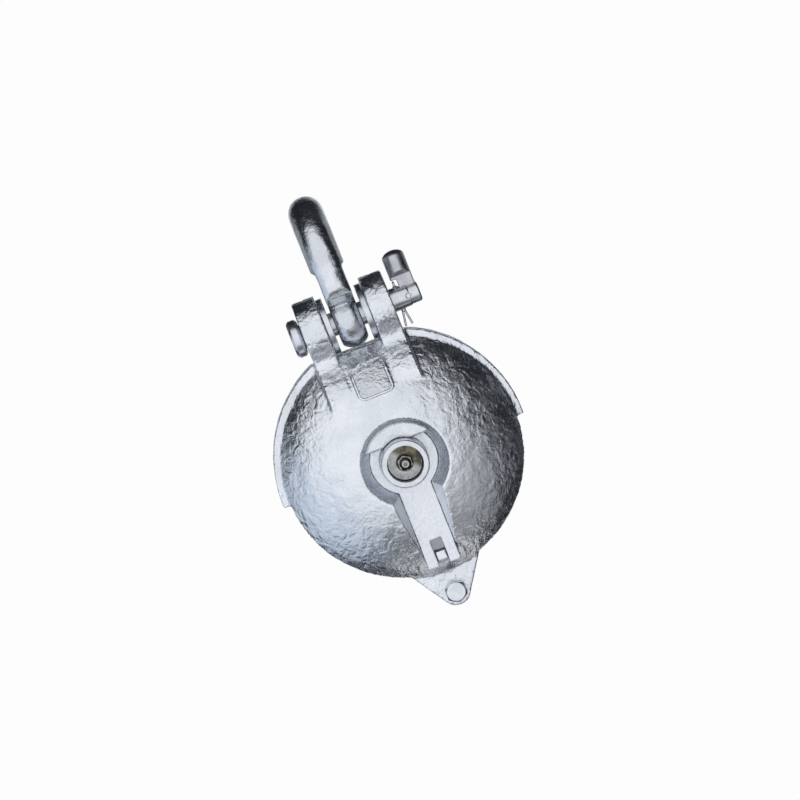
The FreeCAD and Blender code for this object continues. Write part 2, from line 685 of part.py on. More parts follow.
# ---------------------------------------------------------------- shackle and its pin


def shackle():
    """The eye shackle: a round bow, limbs and a web that are flat below its shoulder, and a rounded eye."""
    rise = "($bow_height - $bow_inner)"
    outer = "($bow_inner + $bow_bar)"
    half = "$eye_width / 2"
    span = "4 * $bow_bar"

    bow = doc.addObject("Part::Torus", "bow")
    bind(bow, Radius1="$bow_inner + $bow_bar / 2", Radius2="$bow_bar / 2")
    place(bow, TURN["X"], z=rise)
    above = box("above_limbs", (f"-{span}", f"-{span}", rise), (f"2 * {span}", f"2 * {span}", span))
    crown = common("crown", bow, above)

    limbs = [
        cylinder(f"limb_{side}", "$bow_bar / 2", rise, "Z", y=f"{sign} * ($bow_inner + $bow_bar / 2)")
        for side, sign in (("front", -1), ("rear", 1))
    ]
    shoulder = box("shoulder", (f"-{span}", f"-{span}", "$neck_height"), (f"2 * {span}", f"2 * {span}", span))
    thick_limbs = common("thick_limbs", fuse("limbs", *limbs), shoulder)

    filling = box(
        "filling",
        (f"-{half}", f"-{outer} + $bow_bar / 2", "0"),
        ("$eye_width", f"2 * {outer} - $bow_bar", rise),
    )
    profile_front = [
        ("-12", "9.9"),
        (f"-{outer} + 5.4", "14.6"),
        (f"-{outer} + 2.4", "16"),
        (f"-{outer} + 0.6", "18.6"),
        (f"-{outer}", "22"),
        (f"-{outer}", rise),
    ]
    profile_rear = [(f"-({y})", z) for y, z in reversed(profile_front)]
    profile = prism("profile", "YZ", profile_front + profile_rear, "$eye_width", x=f"-{half}")
    web = common("web", fuse("web_solid", filling, *limbs), profile)

    rims = doc.addObject("Part::Ellipsoid", "rims")
    bind(rims, Radius1="$eye_crown", Radius2="$eye_rad", Radius3="$eye_rad")
    place(rims, TURN["X"])
    slab = box("slab", (f"-{half}", "-$bow_bar", "-$bow_bar"), ("$eye_width", "2 * $bow_bar", "2 * $bow_bar"))
    barrel = common("barrel", slab, rims)

    opening = cylinder("opening", "$bow_inner", span, "X", x="-2 * $bow_bar", z=rise)
    hole = cylinder("eye_hole", "$pin_dia / 2 + $pin_fit", span, "X", x="-2 * $bow_bar")
    solid = fuse("shackle_solid", crown, cut("lower", fuse("lower_solid", thick_limbs, web), opening), barrel)
    node("shackle", cut("shackle", solid, hole), PIN_DROP)


def pin():
    """The headed shackle pin with a slotted end, and the rivet, toggle and split pin in that end."""
    face = "$ear_gap / 2 + $ear_thick"
    head_in = f"-({face}) - 0.5"
    head_out = f"{head_in} - $head_thick"
    bar = turned(
        "pin_bar",
        "XZ",
        [
            (head_out, "0"),
            (head_out, "$head_dia / 2 - 1.4"),
            (f"{head_out} + 1.4", "$head_dia / 2"),
            (f"{head_in} - 1.4", "$head_dia / 2"),
            (head_in, "$head_dia / 2 - 1.4"),
            (head_in, "$pin_dia / 2"),
            ("$pin_step", "$pin_dia / 2"),
            ("$pin_step", "$tip_dia / 2"),
            ("$pin_tip - 0.8", "$tip_dia / 2"),
            ("$pin_tip", "$tip_dia / 2 - 0.8"),
            ("$pin_tip", "0"),
        ],
    )
    slot = box(
        "pin_slot",
        ("$slot_root", "-$slot_half", "-$pin_dia"),
        ("$pin_dia", "2 * $slot_half", "2 * $pin_dia"),
    )
    rivet_hole = cylinder("rivet_hole", "$rivet_dia / 2", "2 * $pin_dia", "Y", x="$toggle_at", y="-$pin_dia")
    split_room = "$split_wire + 0.1"
    split_hole = cylinder("split_hole", split_room, "2 * $pin_dia", "Z", x="$split_at", z="-$pin_dia")
    node("shackle_pin", cut("shackle_pin", bar, slot, rivet_hole, split_hole), PIN_DROP)

    rivet_rad = "$rivet_dia / 2"
    rivet_end = "$tip_dia / 2"
    rivet = turned(
        "toggle_rivet",
        "YZ",
        [
            (f"-({rivet_end})", "0"),
            (f"-({rivet_end})", f"{rivet_rad} - 0.3"),
            (f"-({rivet_end}) + 0.3", rivet_rad),
            (f"{rivet_end} - 0.3", rivet_rad),
            (rivet_end, f"{rivet_rad} - 0.3"),
            (rivet_end, "0"),
        ],
    )
    node("toggle_rivet", rivet, PIN_DROP, "$toggle_at")

    for side, low in (("left", "-$spacer_inner - $spacer_thick"), ("right", "$spacer_inner")):
        name = f"spacer_washer_{side}"
        washer = ring(name, "XZ", "$pin_dia / 2 + 0.3", "$spacer_dia / 2", low, f"{low} + $spacer_thick")
        node(name, washer, PIN_DROP)


def toggle():
    """The toggle: a domed round bar with a flat tongue that pivots in the slot of the pin."""
    radius = "$toggle_dia / 2"
    top = "$toggle_tall - $toggle_cap"
    bar = cylinder("toggle_bar", radius, f"{top} + $tongue_end", "Z", x="$toggle_at", z="-$tongue_end")
    cap = doc.addObject("Part::Ellipsoid", "toggle_cap")
    bind(cap, Radius1="$toggle_cap", Radius2=radius, Radius3=radius)
    place(cap, TURN["Z"], x="$toggle_at", z=top)
    cheek = prism(
        "toggle_cheek",
        "YZ",
        [
            ("$tongue_half", "-2 * $toggle_dia"),
            ("$toggle_dia", "-2 * $toggle_dia"),
            ("$toggle_dia", "$toggle_flat + 2 * $toggle_ramp"),
            (radius, "$toggle_flat + $toggle_ramp"),
            ("$tongue_half", "$toggle_flat"),
        ],
        "2 * $toggle_dia",
        x="$toggle_at - $toggle_dia",
    )
    other = mirror("toggle_cheek_front", cheek, Vector(0, 1, 0))
    notch = box(
        "toggle_notch",
        ("$toggle_at - $toggle_dia", "-$toggle_dia", "-$toggle_dia"),
        ("$toggle_dia - $tongue_end", "2 * $toggle_dia", "$toggle_dia + $notch_tall"),
    )
    corner = cut(
        "tongue_corner",
        box(
            "corner_box",
            ("$toggle_at - $tongue_end - 1", "-$toggle_dia", "-$tongue_end - 1"),
            ("$tongue_end + 1", "2 * $toggle_dia", "$tongue_end + 1"),
        ),
        cylinder("corner_round", "$tongue_end", "4 * $toggle_dia", "Y", x="$toggle_at", y="-2 * $toggle_dia"),
    )
    eye_hole = "$rivet_dia / 2 + $run_gap"
    eye = cylinder("toggle_eye", eye_hole, "4 * $toggle_dia", "Y", x="$toggle_at", y="-2 * $toggle_dia")
    solid = fuse("toggle_solid", bar, cap)
    node("pin_toggle", cut("pin_toggle", solid, cheek, other, notch, corner, eye), PIN_DROP)


def split_pin():
    """The split pin through the shackle pin: an eye above, two legs that spread below."""
    wire = "$split_wire / 2"
    top = "$pin_dia / 2"
    low = f"-({top}) - 0.8"
    shank = cylinder("split_shank", "$split_wire", f"{top} * 2 + 1.4", "Z", x="$split_at", z=low)
    pieces = [shank]
    for side, sign in (("in", -1), ("out", 1)):
        leg = bind(doc.addObject("Part::Cylinder", f"split_leg_{side}"), Radius=wire, Height="$split_leg")
        rotation = FreeCAD.Rotation(Vector(0, 1, 0), 180 - 9 * sign)
        place(leg, rotation, x=f"$split_at + {0.85 * sign} * {wire}", z=f"-({top}) - 0.2")
        pieces.append(leg)
    eye = bind(doc.addObject("Part::Torus", "split_eye"), Radius1="1.3", Radius2=wire)
    place(eye, TURN["X"], x="$split_at", z=f"{top} + 1.4")
    node("split_pin", fuse("split_pin", *pieces, eye), PIN_DROP)


# ---------------------------------------------------------------- bottom bolt


def bottom_bolt():
    """The bolt, lock washer and nut that hold the shells together at the bottom."""
    drop = "-$tail_drop"
    front = "-$guard_half - $bench_gap"
    head = hexagon("bolt_hex", "$bolt_flats", "$bolt_head", y=front, z=drop)
    trim = cone(
        "bolt_trim", "$bolt_flats / 2 + 2.2", "$bolt_flats / 2 - 0.6", "$bolt_head", "-Y", y=front, z=drop
    )
    length = "2 * $guard_half + $lock_thick + $bolt_head + 2.5"
    shank = cylinder("bolt_shank", "$bolt_dia / 2", length, "Y", y=f"{front} - 1", z=drop)
    node("bottom_bolt", fuse("bottom_bolt", common("bolt_head_trimmed", head, trim), shank))

    seat = "$guard_half + $bench_gap"
    outer = cylinder("lock_outer", "$bolt_flats / 2", "$lock_thick", "Y", y=seat, z=drop)
    hole = cylinder("lock_hole", "$bolt_dia / 2 + 0.2", "$dome_dia", "Y", z=drop)
    split = box("lock_split", ("-0.6", seat, f"{drop} - $bolt_flats"), ("1.2", "$lock_thick", "$bolt_flats"))
    node("bottom_lock_washer", cut("bottom_lock_washer", outer, hole, split))

    nut_top = f"{seat} + $lock_thick + $bench_gap + $bolt_head"
    nut = hexagon("bottom_nut_hex", "$bolt_flats", "$bolt_head", y=nut_top, z=drop)
    thread = cylinder("bottom_nut_thread", "$bolt_dia / 2 + 0.05", "$dome_dia", "Y", z=drop)
    node("bottom_nut", cut("bottom_nut", nut, thread))


# ---------------------------------------------------------------- build, check and write

BUILDERS = (
    front_shell,
    rear_shell,
    sheave,
    axle,
    keeper,
    nipple,
    shackle,
    pin,
    toggle,
    split_pin,
    bottom_bolt,
)
for build in BUILDERS:
    build()
doc.recompute()

broken = [item.Label for item in doc.Objects if {"Invalid", "Error"} & set(item.State)]
if broken:
    raise RuntimeError(f"these objects failed: {broken}")
for item in NODES:
    if item.Shape.isNull() or not item.Shape.isValid():
        raise RuntimeError(f"{item.Label} has no valid shape")
for item in NODES:
    item.Shape.exportStep(f"parts/{item.Label}.step")
    print(f"{item.Label:22s} solids {len(item.Shape.Solids)}  volume {item.Shape.Volume / 1000:9.3f} cm3")
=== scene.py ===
import math

import bmesh
import bpy
from mathutils import Matrix, Vector


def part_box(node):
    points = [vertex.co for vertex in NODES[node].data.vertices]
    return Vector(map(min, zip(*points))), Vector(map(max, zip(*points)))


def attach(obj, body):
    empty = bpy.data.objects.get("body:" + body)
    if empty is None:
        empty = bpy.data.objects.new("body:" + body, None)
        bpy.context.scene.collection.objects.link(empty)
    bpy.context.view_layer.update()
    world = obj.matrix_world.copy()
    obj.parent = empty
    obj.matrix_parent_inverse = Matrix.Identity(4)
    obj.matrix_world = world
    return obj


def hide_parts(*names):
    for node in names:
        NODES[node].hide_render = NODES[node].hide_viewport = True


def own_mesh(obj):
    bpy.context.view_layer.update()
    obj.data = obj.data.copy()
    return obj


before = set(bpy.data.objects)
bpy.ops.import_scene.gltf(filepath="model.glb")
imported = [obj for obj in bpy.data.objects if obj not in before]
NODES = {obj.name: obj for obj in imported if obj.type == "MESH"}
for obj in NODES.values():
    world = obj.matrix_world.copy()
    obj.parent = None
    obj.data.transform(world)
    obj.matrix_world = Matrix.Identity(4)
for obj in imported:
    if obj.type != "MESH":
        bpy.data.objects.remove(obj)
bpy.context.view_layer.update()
MM = 0.001

# ---------------------------------------------------------------- places: the axle's read from the CAD nodes, the pad's given


def centre(name):
    """The middle of a CAD node's box."""
    low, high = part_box(name)
    return (Vector(low) + Vector(high)) / 2


AXLE = centre("sheave")

# The pad on the front shell: its middle above the axle, its half sizes and corners, and the depths
# over which it fades in.
PAD_MIDDLE = 47.3 * MM
PAD_HALF_WIDE = 9.4 * MM
PAD_HALF_TALL = 9.3 * MM
PAD_ROUND = 3.0 * MM
PAD_DEPTHS = (-18 * MM, -20 * MM)

# ---------------------------------------------------------------- node helpers

# The mix node's colour sockets come after its float and vector ones, which share their names.
COLOR_A, COLOR_B, COLOR_OUT = 6, 7, 2


class Tree:
    """A node tree with short ways to add nodes and links."""

    def __init__(self, owner):
        owner.use_nodes = True
        self.nodes = owner.node_tree.nodes
        self.links = owner.node_tree.links
        self.nodes.clear()

    def add(self, kind, **values):
        """A new node, with its properties and inputs set by name."""
        made = self.nodes.new(kind)
        for name, value in values.items():
            if hasattr(made, name):
                setattr(made, name, value)
            else:
                self.feed(made.inputs[name.replace("_", " ")], value)
        return made

    def feed(self, socket, value):
        """Link an output to a socket, or set the socket's own value."""
        if isinstance(value, bpy.types.NodeSocket):
            self.links.new(value, socket)
        else:
            socket.default_value = value

    def math(self, operation, first, second=0.0):
        """A sum, product or other operation on two values."""
        made = self.add("ShaderNodeMath", operation=operation)
        self.feed(made.inputs[0], first)
        self.feed(made.inputs[1], second)
        return made.outputs[0]

    def span(self, value, low, high, out_low=0.0, out_high=1.0):
        """A value mapped from one range to another with a smooth step."""
        made = self.add("ShaderNodeMapRange", interpolation_type="SMOOTHSTEP", Value=value)
        made.inputs["From Min"].default_value = low
        made.inputs["From Max"].default_value = high
        made.inputs["To Min"].default_value = out_low
        made.inputs["To Max"].default_value = out_high
        return made.outputs["Result"]

    def product(self, *values):
        """The product of several values."""
        total = values[0]
        for value in values[1:]:
            total = self.math("MULTIPLY", total, value)
        return total

    def mix(self, amount, first, second, blend="MIX"):
        """One colour turned into another by an amount."""
        made = self.add("ShaderNodeMix", data_type="RGBA", blend_type=blend)
        self.feed(made.inputs["Factor"], amount)
        self.feed(made.inputs[COLOR_A], first)
        self.feed(made.inputs[COLOR_B], second)
        return made.outputs[COLOR_OUT]

    def noise(self, place, scale, detail, rough, distortion=0.0):
        """A noise value, with its scale in waves to the metre."""
        made = self.add("ShaderNodeTexNoise", Vector=place, Scale=scale, Detail=detail)
        made.inputs["Roughness"].default_value = rough
        made.inputs["Distortion"].default_value = distortion
        return made.outputs["Fac"]

    def bump(self, height, distance, strength, normal=None):
        """A normal raised by a height, on top of another normal if one is given."""
        made = self.add("ShaderNodeBump", Height=height, Distance=distance, Strength=strength)
        if normal is not None:
            self.feed(made.inputs["Normal"], normal)
        return made.outputs["Normal"]


# ---------------------------------------------------------------- materials


def finish_metal(tree, color, roughness, normal, metallic=1.0):
    """Close a material with a metal shader."""
    shader = tree.add("ShaderNodeBsdfPrincipled")
    tree.feed(shader.inputs["Base Color"], color)
    tree.feed(shader.inputs["Roughness"], roughness)
    tree.feed(shader.inputs["Metallic"], metallic)
    tree.feed(shader.inputs["Normal"], normal)
    output = tree.add("ShaderNodeOutputMaterial")
    tree.links.new(shader.outputs[0], output.inputs[0])


def from_axle(tree, place):
    """Across and up from the axle, along it, and the distance from it."""
    axes = tree.add("ShaderNodeSeparateXYZ", Vector=place)
    across = tree.math("SUBTRACT", axes.outputs[0], AXLE.x)
    up = tree.math("SUBTRACT", axes.outputs[2], AXLE.z)
    squares = tree.math("ADD", tree.math("MULTIPLY", across, across), tree.math("MULTIPLY", up, up))
    return across, up, axes.outputs[1], tree.math("SQRT", squares)


def pad_outline(tree, place):
    """How much of a point is in the pad's plain border, and how much in its stippled middle."""
    across, up, depth, _ = from_axle(tree, place)
    up = tree.math("SUBTRACT", up, PAD_MIDDLE)
    offsets = [
        tree.math("SUBTRACT", tree.math("ABSOLUTE", value), half - PAD_ROUND)
        for value, half in ((across, PAD_HALF_WIDE), (up, PAD_HALF_TALL))
    ]
    outside = [tree.math("MAXIMUM", value, 0.0) for value in offsets]
    squares = tree.math("ADD", *[tree.product(value, value) for value in outside])
    inward = tree.math("MINIMUM", tree.math("MAXIMUM", *offsets), 0.0)
    edge = tree.math("SUBTRACT", tree.math("ADD", tree.math("SQRT", squares), inward), PAD_ROUND)
    front = tree.span(depth, *PAD_DEPTHS)
    border = tree.product(tree.span(tree.math("ABSOLUTE", edge), 0.9 * MM, 0.3 * MM), front)
    middle = tree.product(tree.span(edge, -0.8 * MM, -1.4 * MM), front)
    return border, middle


def channel_floor_shade(tree, place):
    """How much of a point is in the floor of the keeper arm's channel, which shows in the arm's fork;
    painted shade is laid there.
    """
    across, up, depth, _ = from_axle(tree, place)
    return tree.product(
        tree.span(depth, -18.6 * MM, -17.6 * MM),
        tree.span(up, -38 * MM, -42 * MM),
        tree.span(tree.math("ABSOLUTE", across), 9.6 * MM, 9.0 * MM),
        tree.span(depth, -13.0 * MM, -15.5 * MM),
    )


def corner_shade_and_edge_highlight(tree, color, corner, edge):
    """A colour with painted shade in a piece's corners and a painted highlight along its edges.

    Each is a range of pointiness, how much of the other colour it ends with, and that colour.
    """
    point = tree.add("ShaderNodeNewGeometry").outputs["Pointiness"]
    for low, high, amount, other in (corner, edge):
        color = tree.mix(tree.span(point, low, high, 0.0, amount), color, other)
    return color


# Waves to the metre of a casting's dull patches, orange peel, specks and longer ripples.
CLOUD_SCALE = 55.0
GRAIN_SCALE = 620.0
FINE_SCALE = 1900.0
WAVE_SCALE = 190.0
STIPPLE_SCALE = 900.0

# Painted shade for a casting's corners and a painted highlight for its edges.
CAST_CORNER_SHADE = (0.12, 0.12, 0.12, 1)
CAST_EDGE_HIGHLIGHT = (0.93, 0.95, 0.97, 1)
CAST_SPECK = (0.25, 0.25, 0.26, 1)
PAD_TONE = (0.42, 0.43, 0.45, 1)
# Painted shade for the channel floor below the keeper arm.
CHANNEL_SHADE = (0.24, 0.25, 0.26, 1)


def cast_material(name, light, shade, rough, peel=1.0, ripple=1.0, corner_shade=0.5, shell=False):
    """A galvanised casting: fine orange peel over longer ripples, dull patches, painted shade in its
    corners and a painted highlight along its edges.

    A shell ripples more towards its rim, and has the pad and painted shade on the channel floor.
    """
    made = bpy.data.materials.new(name)
    tree = Tree(made)
    place = tree.add("ShaderNodeTexCoord").outputs["Object"]
    cloud = tree.noise(place, CLOUD_SCALE, 4.0, 0.6)
    grain = tree.noise(place, GRAIN_SCALE, 3.0, 0.55)
    fine = tree.noise(place, FINE_SCALE, 2.0, 0.6)
    wave = tree.noise(place, WAVE_SCALE, 2.0, 0.45, 0.8)

    color = tree.mix(tree.span(cloud, 0.35, 0.65), (*shade, 1), (*light, 1))
    # Painted shade in concave corners and a painted highlight along sharp edges.
    color = corner_shade_and_edge_highlight(tree, color, (0.485, 0.44, corner_shade, CAST_CORNER_SHADE), (0.52, 0.60, 0.6, CAST_EDGE_HIGHLIGHT))
    color = tree.mix(tree.span(fine, 0.70, 0.78, 0.0, 0.35), color, CAST_SPECK)
    patchy = tree.product(tree.math("ADD", grain, cloud), 0.5)
    roughness = tree.span(patchy, 0.38, 0.62, *rough)

    strength = 0.32 * ripple
    if shell:
        radius = from_axle(tree, place)[3]
        strength = tree.span(radius, 30 * MM, 58 * MM, 0.22 * ripple, 0.72 * ripple)
    normal = tree.bump(wave, 1.2 * MM, strength)
    normal = tree.bump(grain, 0.5 * MM, 0.50 * peel, normal)
    normal = tree.bump(fine, 0.12 * MM, 0.45 * peel, normal)

    if shell:
        border, middle = pad_outline(tree, place)
        dots = tree.product(tree.noise(place, STIPPLE_SCALE, 1.0, 0.4), middle)
        normal = tree.bump(tree.math("ADD", border, dots), 0.6 * MM, 0.6, normal)
        color = tree.mix(tree.product(middle, 0.35), color, PAD_TONE)
        # Painted shade on the channel floor, which sits below the keeper plate.
        color = tree.mix(tree.product(channel_floor_shade(tree, place), 0.85), color, CHANNEL_SHADE)
    finish_metal(tree, color, roughness, normal)
    return made


# Waves to the metre of a turned piece's rings, along its axis and across it, and of its smears.
RING_SCALE = 3800.0
ACROSS_SCALE = 60.0
SMEAR_SCALE = 160.0

# Painted shade for a turned piece's corners and a painted highlight for its edges.
TURNED_CORNER_SHADE = (0.10, 0.10, 0.10, 1)
TURNED_EDGE_HIGHLIGHT = (0.92, 0.93, 0.95, 1)


def turned_material(name, light, shade, axis, rough=(0.18, 0.34)):
    """A turned or drawn steel piece: fine rings across its axis, smears, painted shade in its corners
    and a painted highlight along its edges.
    """
    made = bpy.data.materials.new(name)
    tree = Tree(made)
    place = tree.add("ShaderNodeTexCoord").outputs["Object"]
    scale = [RING_SCALE if letter == axis else ACROSS_SCALE for letter in "XYZ"]
    lathe = tree.add("ShaderNodeMapping", Vector=place)
    lathe.inputs["Scale"].default_value = scale
    rings = tree.noise(lathe.outputs[0], 1.0, 3.0, 0.6)
    smear = tree.noise(place, SMEAR_SCALE, 4.0, 0.6, 0.6)
    color = tree.mix(tree.span(smear, 0.35, 0.68), (*shade, 1), (*light, 1))
    # Painted shade in concave corners and a painted highlight along sharp edges.
    color = corner_shade_and_edge_highlight(tree, color, (0.485, 0.44, 0.4, TURNED_CORNER_SHADE), (0.53, 0.62, 0.5, TURNED_EDGE_HIGHLIGHT))
    roughness = tree.span(smear, 0.3, 0.7, *rough)
    normal = tree.bump(rings, 0.15 * MM, 0.25)
    normal = tree.bump(smear, 0.4 * MM, 0.10, normal)
    finish_metal(tree, color, roughness, normal)
    return made


# The axle's colours: each pair is a smear's darker and lighter tone.
STEEL_TONES = ((0.66, 0.68, 0.71, 1), (0.80, 0.82, 0.86, 1))
PALE_GREASE_TONES = ((0.34, 0.345, 0.34, 1), (0.60, 0.61, 0.62, 1))
RUST_TONES = ((0.05, 0.048, 0.035, 1), (0.24, 0.225, 0.16, 1))
# Painted shade: a dark ring around the nipple's base and another at the foot of the counterbore's wall.
NIPPLE_BASE_SHADE = (0.035, 0.034, 0.03, 1)
BORE_RIM_SHADE = (0.06, 0.06, 0.05, 1)


def greasy_material():
    """The axle: bright turned steel outside, with old grease and rust held in the counterbore, and
    painted shade around the nipple's base and the counterbore floor's rim.
    """
    made = bpy.data.materials.new("axle_steel")
    tree = Tree(made)
    place = tree.add("ShaderNodeTexCoord").outputs["Object"]
    across, up, depth, radius = from_axle(tree, place)
    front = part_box("axle")[0][1]
    counterbore_floor = tree.product(
        tree.span(radius, 9.9 * MM, 9.5 * MM),
        tree.span(depth, front + 0.1 * MM, front + 0.8 * MM),
        tree.span(depth, front + 12 * MM, front + 9 * MM),
    )
    smear = tree.noise(place, 240.0, 4.0, 0.6, 0.7)
    grain = tree.noise(place, 900.0, 3.0, 0.6)
    smeared = tree.span(smear, 0.35, 0.65)
    steel = tree.mix(smeared, *STEEL_TONES)
    pale = tree.mix(smeared, *PALE_GREASE_TONES)
    rust = tree.mix(smeared, *RUST_TONES)
    slant = tree.math("ADD", tree.product(across, 0.75), tree.product(up, 0.65))
    slant = tree.math("ADD", slant, tree.product(tree.math("SUBTRACT", smear, 0.5), 8 * MM))
    grease_and_shade = tree.mix(tree.span(slant, 0.2 * MM, 3.2 * MM), pale, rust)
    # Painted shade around the nipple's base and at the rim of the counterbore floor.
    grease_and_shade = tree.mix(tree.span(radius, 5.2 * MM, 4.2 * MM), grease_and_shade, NIPPLE_BASE_SHADE)
    grease_and_shade = tree.mix(tree.span(radius, 8.7 * MM, 9.4 * MM), grease_and_shade, BORE_RIM_SHADE)
    color = tree.mix(counterbore_floor, steel, grease_and_shade)
    roughness = tree.span(smear, 0.3, 0.7, 0.24, 0.42)
    normal = tree.bump(grain, 0.3 * MM, 0.2)
    normal = tree.bump(smear, 0.6 * MM, 0.25, normal)
    finish_metal(tree, color, roughness, normal, 0.9)
    return made


# ---------------------------------------------------------------- pieces


def settled(piece):
    """Apply a piece's modifiers to its mesh."""
    bpy.context.view_layer.update()
    shaped = piece.evaluated_get(bpy.context.evaluated_depsgraph_get())
    mesh = bpy.data.meshes.new_from_object(shaped)
    piece.modifiers.clear()
    piece.data = mesh


def joined(piece, node, material, body):
    """Give a piece its material and body, and let it stand for a CAD node."""
    piece.data.materials.clear()
    piece.data.materials.append(material)
    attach(piece, body)
    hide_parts(node)


WAVE_SIZE = 7 * MM
WAVE_DEPTH = 2


def wavy(piece, strength):
    """Raise and lower a piece's faces in slow waves."""
    clouds = bpy.data.textures.new(f"{piece.name}_wave", "CLOUDS")
    clouds.noise_scale = WAVE_SIZE
    clouds.noise_depth = WAVE_DEPTH
    waver = piece.modifiers.new("waver", "DISPLACE")
    waver.texture = clouds
    waver.texture_coords = "LOCAL"
    waver.strength = strength
    settled(piece)


def cast_copy(node, name, voxel, rounds, material, body, wave):
    """A dense copy of a CAD node with its edges rounded by smoothing and its faces gently wavy."""
    piece = bpy.data.objects.new(name, NODES[node].data.copy())
    bpy.context.scene.collection.objects.link(piece)
    mesher = piece.modifiers.new("mesher", "REMESH")
    mesher.mode = "VOXEL"
    mesher.voxel_size = voxel
    softener = piece.modifiers.new("softener", "SMOOTH")
    softener.factor = 0.5
    softener.iterations = rounds
    settled(piece)
    if wave:
        wavy(piece, wave)
    piece.data.polygons.foreach_set("use_smooth", [True] * len(piece.data.polygons))
    joined(piece, node, material, body)


def spring_coil():
    """The nipple's spring, copied from its CAD node at one fixed length."""
    piece = bpy.data.objects.new("nipple_spring_coil", NODES["nipple_spring"].data.copy())
    bpy.context.scene.collection.objects.link(piece)
    joined(piece, "nipple_spring", NIPPLE, "block")
    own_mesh(piece)


def dressed(node, material):
    """Give a CAD node that stays its detailed material."""
    for slot in NODES[node].material_slots:
        slot.material = material


# Each material's light and dark tone, then the range of its roughness.
CAST = cast_material("cast_shell", (0.82, 0.84, 0.88), (0.70, 0.725, 0.76), (0.21, 0.36), shell=True)
FORGED = cast_material(
    "forged_shackle", (0.78, 0.80, 0.84), (0.62, 0.645, 0.68), (0.16, 0.30), peel=0.7, ripple=0.5
)
# The keeper's painted shade in its corners is fainter than the shell's.
KEEPER = cast_material(
    "keeper_steel", (0.86, 0.88, 0.92), (0.78, 0.80, 0.84), (0.34, 0.48), peel=0.8, ripple=0.5, corner_shade=0.3
)
AXLE_STEEL = greasy_material()
PLATED_X = turned_material("plated_steel_x", (0.78, 0.80, 0.83), (0.60, 0.62, 0.65), "X")
PLATED_Y = turned_material("plated_steel_y", (0.78, 0.80, 0.83), (0.64, 0.66, 0.69), "Y")
TOGGLE_STEEL = turned_material(
    "toggle_steel", (0.62, 0.63, 0.65), (0.45, 0.46, 0.48), "Z", (0.26, 0.42)
)
NIPPLE = turned_material("nipple_steel", (0.62, 0.62, 0.60), (0.34, 0.34, 0.31), "Y", (0.22, 0.36))
SHEAVE = cast_material(
    "sheave_iron", (0.66, 0.67, 0.69), (0.52, 0.53, 0.55), (0.25, 0.4), peel=0.6, ripple=0.3
)
BRONZE = turned_material("bronze", (0.78, 0.56, 0.30), (0.62, 0.42, 0.20), "Y")

# CAD node, piece, voxel in mm, rounds of smoothing, material, slot, body, waves in mm.
COPIES = (
    ("front_shell", "front_casting", 0.8, 2, CAST, "cast_shell", "block", 0.5),
    ("rear_shell", "rear_casting", 0.85, 2, CAST, "cast_shell", "block", 0.5),
    ("shackle", "shackle_forging", 0.6, 14, FORGED, "forged_shackle", "shackle", 0.35),
    ("keeper_plate", "keeper_forging", 0.4, 2, KEEPER, "keeper_steel", "block", 0.12),
    ("shackle_pin", "shackle_pin_turned", 0.3, 3, PLATED_X, "plated_steel", "pin", 0),
    ("pin_toggle", "toggle_turned", 0.25, 4, TOGGLE_STEEL, "toggle_steel", "toggle", 0),
    ("bottom_bolt", "bottom_bolt_forged", 0.25, 3, PLATED_Y, "plated_steel", "block", 0),
    ("bottom_nut", "bottom_nut_forged", 0.2, 3, PLATED_Y, "plated_steel", "block", 0),
    ("axle_nut", "axle_nut_forged", 0.35, 3, PLATED_Y, "plated_steel", "block", 0),
    ("axle", "axle_turned", 0.35, 3, AXLE_STEEL, "axle_steel", "block", 0),
    ("split_pin", "split_pin_bent", 0.12, 3, PLATED_X, "plated_steel", "pin", 0),
    ("axle_split_pin", "axle_split_pin_bent", 0.15, 3, PLATED_Y, "plated_steel", "block", 0),
    ("grease_nipple", "grease_nipple_turned", 0.14, 2, NIPPLE, "nipple_steel", "block", 0),
    ("spacer_washer_left", "spacer_left_turned", 0.3, 3, PLATED_X, "plated_steel", "pin", 0),
    ("spacer_washer_right", "spacer_right_turned", 0.3, 3, PLATED_X, "plated_steel", "pin", 0),
    ("sheave", "sheave_casting", 0.7, 3, SHEAVE, "sheave_iron", "sheave", 0),
)
for node, name, voxel, rounds, material, slot, body, wave in COPIES:
    cast_copy(node, name, voxel * MM, rounds, material, body, wave * MM)
spring_coil()

for kept, material in (
    ("axle_washer", PLATED_Y),
    ("bottom_lock_washer", PLATED_Y),
    ("toggle_rivet", PLATED_Y),
    ("nipple_ball", NIPPLE),
    ("sheave_bush", BRONZE),
    ("front_thrust_washer", BRONZE),
    ("rear_thrust_washer", BRONZE),
):
    dressed(kept, material)

# ---------------------------------------------------------------- camera

VIEW_AZIMUTH = math.radians(-0.4)
VIEW_ELEVATION = math.radians(6.65)
VIEW_ROLL = math.radians(-21.70)
VIEW_DISTANCE = 1.8
VIEW_TARGET = Vector((0.0099, 0.0, AXLE.z + 0.0280))
SENSOR = 36.0
FOCAL = 152.7

towards = Vector(
    (
        math.sin(VIEW_AZIMUTH) * math.cos(VIEW_ELEVATION),
        -math.cos(VIEW_AZIMUTH) * math.cos(VIEW_ELEVATION),
        math.sin(VIEW_ELEVATION),
    )
)
level = Vector((0, 0, 1)).cross(towards).normalized()
rise = towards.cross(level)
across = math.cos(VIEW_ROLL) * level + math.sin(VIEW_ROLL) * rise
upward = -math.sin(VIEW_ROLL) * level + math.cos(VIEW_ROLL) * rise

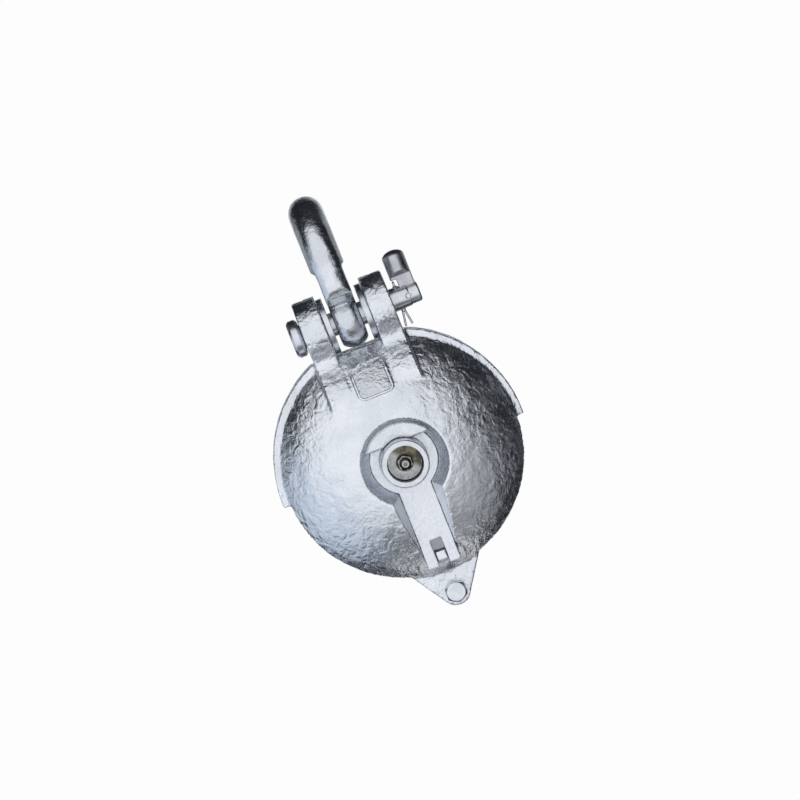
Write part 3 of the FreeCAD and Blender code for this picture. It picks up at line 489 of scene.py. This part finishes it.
lens = bpy.data.cameras.new("photo_camera")
lens.sensor_width = SENSOR
lens.lens = FOCAL
lens.clip_end = 20.0
camera = bpy.data.objects.new("photo_camera", lens)
pose = Matrix((across, upward, towards)).transposed().to_4x4()
pose.translation = VIEW_TARGET + towards * VIEW_DISTANCE
camera.matrix_world = pose
bpy.context.scene.collection.objects.link(camera)
bpy.context.scene.camera = camera

# ---------------------------------------------------------------- floor and light

FLOOR_RADIUS = 0.5
FLOOR_DROP = 1.6
FLOOR_TONE = (0.86, 0.86, 0.86, 1)


def floor_disc():
    """A pale studio floor well below the hanging pulley."""
    mesh = bpy.data.meshes.new("studio_floor")
    shape = bmesh.new()
    bmesh.ops.create_circle(shape, cap_ends=True, segments=96, radius=FLOOR_RADIUS)
    shape.to_mesh(mesh)
    shape.free()
    disc = bpy.data.objects.new("studio_floor", mesh)
    disc.location = (0, 0, -FLOOR_DROP)
    bpy.context.scene.collection.objects.link(disc)
    paint = bpy.data.materials.new("studio_floor")
    tree = Tree(paint)
    shader = tree.add("ShaderNodeBsdfPrincipled")
    shader.inputs["Base Color"].default_value = FLOOR_TONE
    shader.inputs["Roughness"].default_value = 0.9
    output = tree.add("ShaderNodeOutputMaterial")
    tree.links.new(shader.outputs[0], output.inputs[0])
    mesh.materials.append(paint)


# Soft panels of light around the studio: direction, full and fading half angles in degrees, colour.
PANELS = (
    ((-0.24, -1.0, 0.27), 42, 65, (1.00, 1.02, 1.06)),
    ((-1.0, -0.35, -0.35), 18, 46, (0.66, 0.75, 0.88)),
    ((0.50, -0.65, -0.60), 8, 38, (0.36, 0.37, 0.39)),
    ((-0.1, -0.45, -1.0), 14, 44, (0.15, 0.155, 0.165)),
    ((0.05, 1.0, -0.30), 22, 44, (0.78, 0.80, 0.83)),
    ((0.85, 0.60, 0.1), 6, 27, (0.36, 0.37, 0.39)),
    ((-0.85, 0.60, 0.1), 6, 27, (0.40, 0.42, 0.45)),
)
SHADE = (0.018, 0.020, 0.024)
SOFT_FILL = (0.92, 0.92, 0.92)
BACKDROP = (0.98, 0.98, 0.98)


def studio_light():
    """A world of soft panels in a dim room, with an even fill on the floor and a white backdrop."""
    world = bpy.data.worlds.new("studio")
    bpy.context.scene.world = world
    tree = Tree(world)
    way = tree.add("ShaderNodeTexCoord").outputs["Generated"]
    total = (*SHADE, 1)
    for direction, full, fade, color in PANELS:
        dot = tree.add("ShaderNodeVectorMath", operation="DOT_PRODUCT")
        tree.feed(dot.inputs[0], way)
        dot.inputs[1].default_value = Vector(direction).normalized()
        lit = tree.span(dot.outputs["Value"], math.cos(math.radians(fade)), math.cos(math.radians(full)))
        total = tree.mix(lit, total, (*color, 1), "LIGHTEN")
    path = tree.add("ShaderNodeLightPath")
    color = tree.mix(path.outputs["Is Diffuse Ray"], total, (*SOFT_FILL, 1))
    color = tree.mix(path.outputs["Is Camera Ray"], color, (*BACKDROP, 1))
    background = tree.add("ShaderNodeBackground", Color=color)
    output = tree.add("ShaderNodeOutputWorld")
    tree.links.new(background.outputs[0], output.inputs[0])


floor_disc()
studio_light()
bpy.context.scene.view_settings.view_transform = "Standard"
